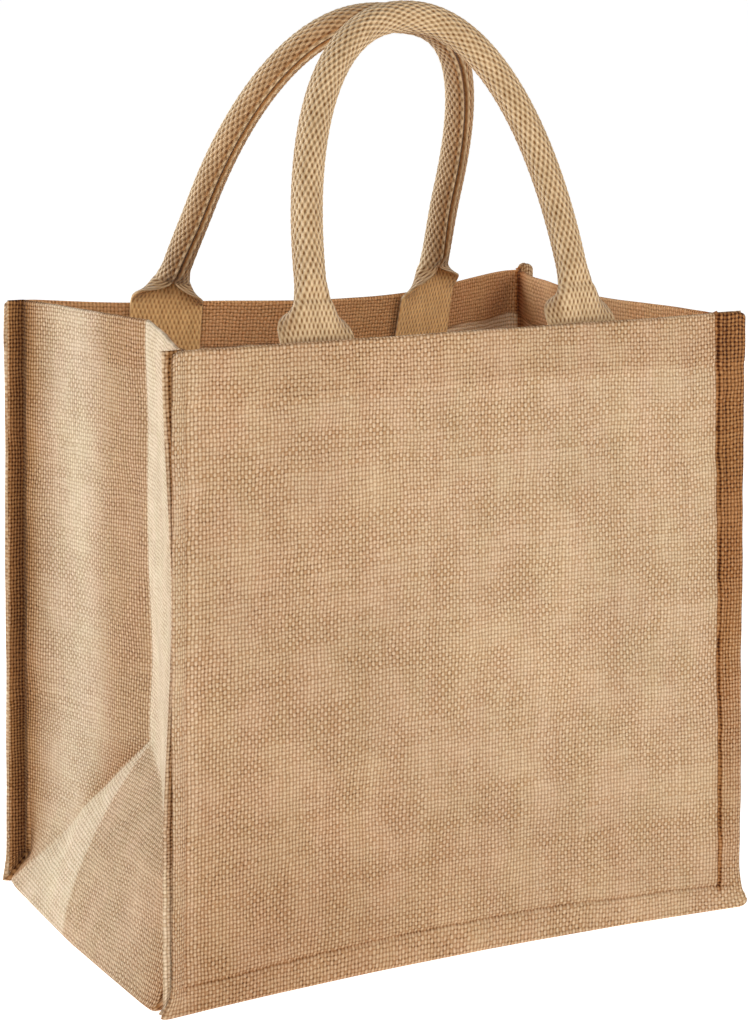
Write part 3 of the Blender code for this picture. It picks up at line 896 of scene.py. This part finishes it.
def gusset_piece(materials):
    """The strip in its folds, its length along the middle and its width."""
    turns = strip_turns()
    control = np.array([strip_section(row, turns) for row in strip_rows()])
    middle = len(turns) // 2
    lengths = path_lengths(control[:, middle])
    total = lengths[-1]
    half = stations(*STRIP_ROWS, (total / 2, FLOOR_STEP))
    places = between_edges(np.concatenate([half, total - half[-2::-1]]), total)
    outer = np.stack([along_path(places, lengths, control[:, c]) for c in range(len(turns))], axis=1)
    turns, flat_v = np.meshgrid(turns, places)
    around = np.abs(turns)
    widths = (0, WALL, WALL + SEAM_ROOT, WALL + SEAM_ROOT + FLANGE)
    flat_u = np.sign(turns) * np.interp(around, [0, 1, 2, 3], widths)
    x, z = outer[..., 0].copy(), outer[..., 2].copy()
    on_wall = smooth((1.2 - around) / 0.3) * smooth(z / 0.03)
    swell = 0.0006 * ripple(flat_u, flat_v, 0.07, 31) + 0.0003 * ripple(flat_u, flat_v, 0.028, 32)
    outer[..., 0] += np.sign(x) * swell * on_wall
    from_rim = np.minimum(flat_v, total - flat_v)
    in_hem = smooth((HEM_DEPTH - from_rim + 0.0008 * ripple(flat_u, flat_v, 0.05, 33)) / HEM_BLEND)
    in_hem = in_hem * (around < 2)
    in_flange = smooth((around - 1.85) / 0.15)
    nub = np.sqrt(np.sin(math.pi * np.clip(around - 2, 0, 1))) * (flat_u > 0) * (x > 0)
    outer[..., 2] += NUB_RISE * nub * near(from_rim, NUB_REACH)
    rise = np.repeat(z[:, middle: middle + 1], turns.shape[1], axis=1)
    shade = strip_shade(turns, flat_u, rise, in_hem, in_flange)
    # The right flanges keep less of their painted shade
    shade = shade * np.where((x > 0) & (around > 1.8), STRIP_SHADE["right_flange"], 1.0)
    values = {"layers": np.maximum(in_hem, in_flange), "shade": shade}
    thickness = blend(SINGLE_LAYER, HEM_LAYERS, in_hem)
    uvs = np.stack([flat_u / WARP_PITCH, flat_v / WEFT_PITCH], axis=-1)
    piece = cloth("gusset_cloth", outer, thickness, uvs, values, materials, 1, in_flange)
    return piece, total, 2 * widths[-1]


# ---------------- handles


STRAP_WIDTH, STRAP_THICKNESS, CAD_STRAP_THICKNESS = 0.0385, 0.0022, 0.0032
EDGE_TURN, FOLD_SPREAD = math.radians(176), 0.20
FOOT_GAP, FOOT_DEPTH = 0.0005, 0.042
ROOT_REACH = 0.060
SLOPE_STEP = 0.004
PATH_STEP = 0.002
ARCH_STATIONS = 40
SMOOTHING_ROUNDS = 30
WEB_ACROSS, WEB_STEP, WEB_RELIEF = 114, 0.00074, 0.00042
# The two selvedges meet along the seam as a pair of ridges, each with a thin lip
SELVEDGE = {"place": 0.945, "rise": 0.0007, "reach": 0.045, "lip": 0.035}
# Painted shade on the tube, growing towards its seam and deepest in it and in a dip beside the
# selvedges, with a painted highlight on the selvedge ridges
TUBE_SHADE = {"side": 0.45, "selvedge": -0.45, "seam": 1.2, "dip": 0.5}
# Painted shade browns the edges where they turn over above the feet
FLAP_SHADE = 0.35
HANDLES = {
    "handle_front": {
        "panel": "front", "centre": -0.0075, "rise": 0.1465, "lean": 19.0,
        "left": {"apex": 0.0175, "half_span": 0.0685, "power": 2.2},
        "right": {"apex": 0.0175, "half_span": 0.0685, "power": 2.2},
    },
    "handle_back": {
        "panel": "back", "centre": -0.0005, "rise": 0.1590, "lean": 28.0,
        "left": {"apex": 0.0140, "half_span": 0.0738, "power": 2.22},
        "right": {"apex": 0.0170, "half_span": 0.0665, "power": 3.1},
    },
}


def unit(vector):
    return vector / np.linalg.norm(vector)


def foot_point(panel, x, z):
    """Middle of the strap's thickness where it lies flat inside the hem, and its outward normal."""
    across = outer_face(panel, x + SLOPE_STEP, z) - outer_face(panel, x - SLOPE_STEP, z)
    up = outer_face(panel, x, z) - outer_face(panel, x, z - SLOPE_STEP)
    outward = -PANELS[panel] * unit(np.cross(across, up))
    inset = HEM_LAYERS + FOOT_GAP + CAD_STRAP_THICKNESS / 2
    return outer_face(panel, x, z) - outward * inset, outward


def handle_path(name):
    """The strap's middle line, its outward side, its height above the rim and its length so far."""
    data = HANDLES[name]
    panel, rise = data["panel"], data["rise"]
    lean = math.radians(data["lean"])
    inwards = -PANELS[panel]
    upwards = np.array([0.0, inwards * math.sin(lean), math.cos(lean)])
    plane_outward = np.array([0.0, -inwards * math.cos(lean), math.sin(lean)])
    foot_x = {side: data["centre"] + sign * data[side]["half_span"] for side, sign in SIDES.items()}
    roots = {side: foot_point(panel, x, BODY_HEIGHT) for side, x in foot_x.items()}
    base = (roots["left"][0] + roots["right"][0]) / 2
    base[0] = data["centre"]

    def arch(side, turn):
        power = 2 / data[side]["power"]
        height = rise * math.sin(turn) ** power
        reach = max(math.cos(turn), 0.0) ** power
        root, root_outward = roots[side]
        settle = near(height, ROOT_REACH)
        foot = base.copy()
        foot[0] = foot_x[side]
        centre = blend(base, foot, reach) + upwards * height + (root - foot) * settle
        return *centre, *unit(blend(plane_outward, root_outward, settle)), height

    def half(side):
        rows = []
        for depth in np.arange(FOOT_DEPTH, 0.0, -PATH_STEP):
            centre, outward = foot_point(panel, foot_x[side], BODY_HEIGHT - depth)
            rows.append((*centre, *outward, -depth))
        power = data[side]["power"] / 2
        low = [math.asin((z / rise) ** power) for z in np.arange(0.0, 0.5 * rise, PATH_STEP)]
        high = np.linspace(math.asin(0.5**power), math.pi / 2, ARCH_STATIONS)[:-1]
        return rows + [arch(side, turn) for turn in (*low, *high)]

    rows = np.array(half("left") + [arch("left", math.pi / 2)] + half("right")[::-1])
    lengths = path_lengths(rows[:, :3])
    places = np.linspace(0, lengths[-1], round(lengths[-1] / WEB_STEP) + 1)
    path = along_path(places, lengths, rows)
    lines = path[:, :6]
    for _ in range(SMOOTHING_ROUNDS):
        lines[1:-1] = (lines[:-2] + lines[1:-1] * 2 + lines[2:]) / 4
    return path[:, :3], path[:, 3:6], path[:, 6], places


def strap_section(centre, tangent, outward, height, apex, side):
    """Points across the middle of the strap's thickness, and their outward normals.

    The strap lies flat in the bag. Above the rim its two edges turn over a quarter in from each
    side until they meet at the apex, and higher up the fold rounds out into a tube.
    """
    across = unit(np.cross(tangent, outward))
    square = np.cross(across, tangent)
    closed = float(np.clip(height / apex, 0, 1))
    spread = blend(FOLD_SPREAD, 0.5, float(smooth((height / apex - 0.85) / 0.75)))
    edge_turn = EDGE_TURN * (0.45 * closed + 0.55 * closed**4)
    turn = edge_turn * np.clip((np.abs(side) - 0.5) / (2 * spread) + 0.5, 0, 1)
    half = len(side) // 2
    steps = (STRAP_WIDTH - STRAP_THICKNESS) / 2 * np.diff(np.abs(side[half:]))
    bends = (turn[half:-1] + turn[half + 1:]) / 2
    reach = np.concatenate([[0.0], np.cumsum(np.cos(bends) * steps)])
    depth = np.concatenate([[0.0], np.cumsum(np.sin(bends) * steps)])
    reach = np.concatenate([-reach[:0:-1], reach])
    depth = np.concatenate([depth[:0:-1], depth])
    signed = turn * np.sign(side)
    points = centre - np.outer(depth - depth.mean(), square) + np.outer(reach, across)
    normals = np.outer(np.cos(signed), square) + np.outer(np.sin(signed), across)
    return points, normals


def web_height(u, v):
    """Relief of the webbing, from 0 in its slots to 1 on its pebbles."""
    lattice = np.cos(math.pi * u) * np.cos(math.tau * v)
    middle = WEB_COLUMNS / 2
    edge = smooth((np.abs(u - middle) - (middle - SELVEDGE_COLUMNS)) / SELVEDGE_BLEND)
    return blend(smooth((lattice + 1.0) / 1.9), 0.9, edge)


def strap_faces(path, apex, side, u):
    """Grids of the strap's outer and inner face and of its shade, from foot to foot."""
    centres, outwards, heights, places = path
    tangents = np.gradient(centres, axis=0)
    tangents /= np.linalg.norm(tangents, axis=1, keepdims=True)
    across = np.abs(side)
    ridge = bump(across - SELVEDGE["place"], SELVEDGE["reach"])
    past_lip = np.clip((across - 1 + SELVEDGE["lip"]) / SELVEDGE["lip"], 0, 1)
    lip = np.sqrt(np.clip(1 - past_lip**2, 0, 1))
    half = STRAP_THICKNESS / 2 * lip
    tube_shade = TUBE_SHADE["side"] * smooth((across - 0.35) / 0.4) + TUBE_SHADE["selvedge"] * ridge
    tube_shade += TUBE_SHADE["seam"] * smooth((across - 0.975) / 0.02)
    tube_shade += TUBE_SHADE["dip"] * bump(across - SELVEDGE["place"] + 0.07, 0.05)
    flap_shade = FLAP_SHADE * smooth((across - 0.45) / 0.2)
    outer, inner, shades = [], [], []
    for i, height in enumerate(heights):
        points, normals = strap_section(centres[i], tangents[i], outwards[i], height, apex[i], side)
        roundness = float(smooth(height / apex[i] - 0.7))
        relief = (web_height(u, places[i] / WEB_REPEAT) - 0.5) * WEB_RELIEF + SELVEDGE["rise"] * ridge
        outer.append(points + normals * (half + relief * roundness * lip)[:, None])
        inner.append(points - normals * half[:, None])
        shades.append(tube_shade * roundness + flap_shade * bump(height / apex[i] - 0.6, 0.7))
    return np.array(outer), np.array(inner), np.array(shades)


def handle_piece(name, materials):
    """A strap of webbing, flat at its feet and rolled into a tube between them.

    The inner face is made only as far as the tube is open, and there the tube's edges join.
    """
    path = handle_path(name)
    heights, places = path[2:]
    left, right = (HANDLES[name][side]["apex"] for side in SIDES)
    apex = np.where(places < places[-1] / 2, left, right)
    side = np.linspace(-1, 1, WEB_ACROSS + 1)
    u = (side + 1) / 2 * WEB_COLUMNS
    outer, inner, shades = strap_faces(path, apex, side, u)
    weave = np.stack(np.meshgrid(u, places / WEB_REPEAT), axis=-1)
    closed = np.where(heights > 1.7 * apex)[0]
    start, end = closed[0] + 4, closed[-1] - 4
    index = np.arange(shades.size).reshape(shades.shape)
    points, uvs, faces = [outer.reshape(-1, 3)], [weave.reshape(-1, 2)], [quads(index)]
    count = index.size
    open_grids = []
    for part in (slice(0, start + 1), slice(end, len(places))):
        grid = index[part].copy()
        within = grid[:, 1:-1]
        within[:] = count + np.arange(within.size).reshape(within.shape)
        count += within.size
        points.append(inner[part, 1:-1].reshape(-1, 3))
        uvs.append(weave[part, 1:-1].reshape(-1, 2))
        faces.append(quads(grid)[:, ::-1])
        open_grids.append(grid)
    faces.append(quads(index[start:end + 1, [-1, 0]]))
    for row, way, grid in ((0, -1, open_grids[0]), (-1, 1, open_grids[1])):
        faces.append(quads(np.stack([index[row], grid[row]]))[:, ::way])
    faces = np.concatenate(faces)
    values = {"shade": np.concatenate([shades.ravel(), np.zeros(count - index.size)])}
    lined = faces.max(axis=1) >= index.size
    return make_piece(
        name + "_web", np.concatenate(points), faces, np.concatenate(uvs), values, materials, lined
    )


# ---------------- scene


CAMERA = {"azimuth": -28.0, "elevation": 11.84, "roll": 0.224, "distance": 1.2896,
          "target": (0.00255, 0.0, 0.1976), "lens": 92.1, "sensor": 36.0}
LIGHT_AIM = (0.0, 0.0, 0.18)
WHITE, COOL = (1.0, 1.0, 1.0), (0.87, 1.00, 1.15)
LIGHTS = (
    {"name": "front_left", "place": (-1.1, -1.8, 1.1), "width": 1.4, "power": 20.0, "colour": WHITE},
    {"name": "front", "place": (0.9, -2.1, 1.2), "width": 1.6, "power": 20.5, "colour": WHITE},
    {"name": "back_left", "place": (-1.2, 1.3, 0.70), "width": 1.0, "power": 39.5, "colour": COOL},
    {"name": "back_right", "place": (1.5, 1.2, 0.8), "width": 0.9, "power": 9.0, "colour": WHITE},
)
LIGHT_HEIGHT = 1.4
WORLD_STRENGTH = 0.16
FLOOR_HALF_SIZE = 60.0
FLOOR_SURFACE = {
    "Base Color": (0.92, 0.92, 0.92, 1.0), "Roughness": 0.9,
    "Emission Color": (1.0, 1.0, 1.0, 1.0), "Emission Strength": 0.86,
}


def camera():
    azimuth, elevation, roll = (math.radians(CAMERA[k]) for k in ("azimuth", "elevation", "roll"))
    right = Vector((math.cos(azimuth), math.sin(azimuth), 0.0))
    back = Vector((math.sin(azimuth) * math.cos(elevation), -math.cos(azimuth) * math.cos(elevation),
                   math.sin(elevation)))
    up = back.cross(right)
    turned_right = right * math.cos(roll) + up * math.sin(roll)
    turned_up = up * math.cos(roll) - right * math.sin(roll)
    matrix = Matrix((turned_right, turned_up, back)).transposed().to_4x4()
    matrix.translation = Vector(CAMERA["target"]) + back * CAMERA["distance"]
    data = bpy.data.cameras.new("camera")
    data.lens = CAMERA["lens"]
    data.sensor_width = CAMERA["sensor"]
    obj = new_object("camera", data)
    obj.matrix_world = matrix
    bpy.context.scene.camera = obj


def lights():
    for row in LIGHTS:
        data = bpy.data.lights.new(row["name"], "AREA")
        data.shape = "RECTANGLE"
        data.size, data.size_y = row["width"], LIGHT_HEIGHT
        data.energy = row["power"]
        data.color = row["colour"]
        obj = new_object(row["name"], data)
        obj.location = row["place"]
        obj.rotation_euler = (Vector(LIGHT_AIM) - obj.location).to_track_quat("-Z", "Y").to_euler()
        obj.visible_camera = False
    world = bpy.data.worlds.new("studio")
    world.use_nodes = True
    background = world.node_tree.nodes["Background"]
    background.inputs[0].default_value = (1.0, 1.0, 1.0, 1.0)
    background.inputs[1].default_value = WORLD_STRENGTH
    bpy.context.scene.world = world


def floor():
    low, high = -FLOOR_HALF_SIZE, FLOOR_HALF_SIZE
    mesh = bpy.data.meshes.new("floor")
    corners = [(low, low, 0.0), (high, low, 0.0), (high, high, 0.0), (low, high, 0.0)]
    mesh.from_pydata(corners, [], [(0, 1, 2, 3)])
    mesh.materials.append(new_material("studio_floor", FLOOR_SURFACE)[0])
    new_object("floor", mesh)


def settle(piece, node, slot):
    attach(piece, "root")
    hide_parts(node)


def main():
    camera()
    lights()
    floor()
    # The gusset's and the inside's jute hold painted light in their tones
    panel_jute, gusset_lit_jute, inside = (jute_material("jute_" + key, JUTE[key]) for key in JUTE)
    webbing = [webbing_material("webbing_" + face, WEB[face]) for face in WEB]
    for panel in PANELS:
        sheet = panel_piece(panel, (panel_jute, inside))
        settle(sheet, panel + "_panel", "jute_panel")
    gusset, length, width = gusset_piece((gusset_lit_jute, inside))
    settle(gusset, "gusset_strip", "jute_gusset")
    for name in HANDLES:
        handle = handle_piece(name, webbing)
        settle(handle, name, "cotton_webbing")


main()
bpy.context.scene.view_settings.view_transform = "Standard"
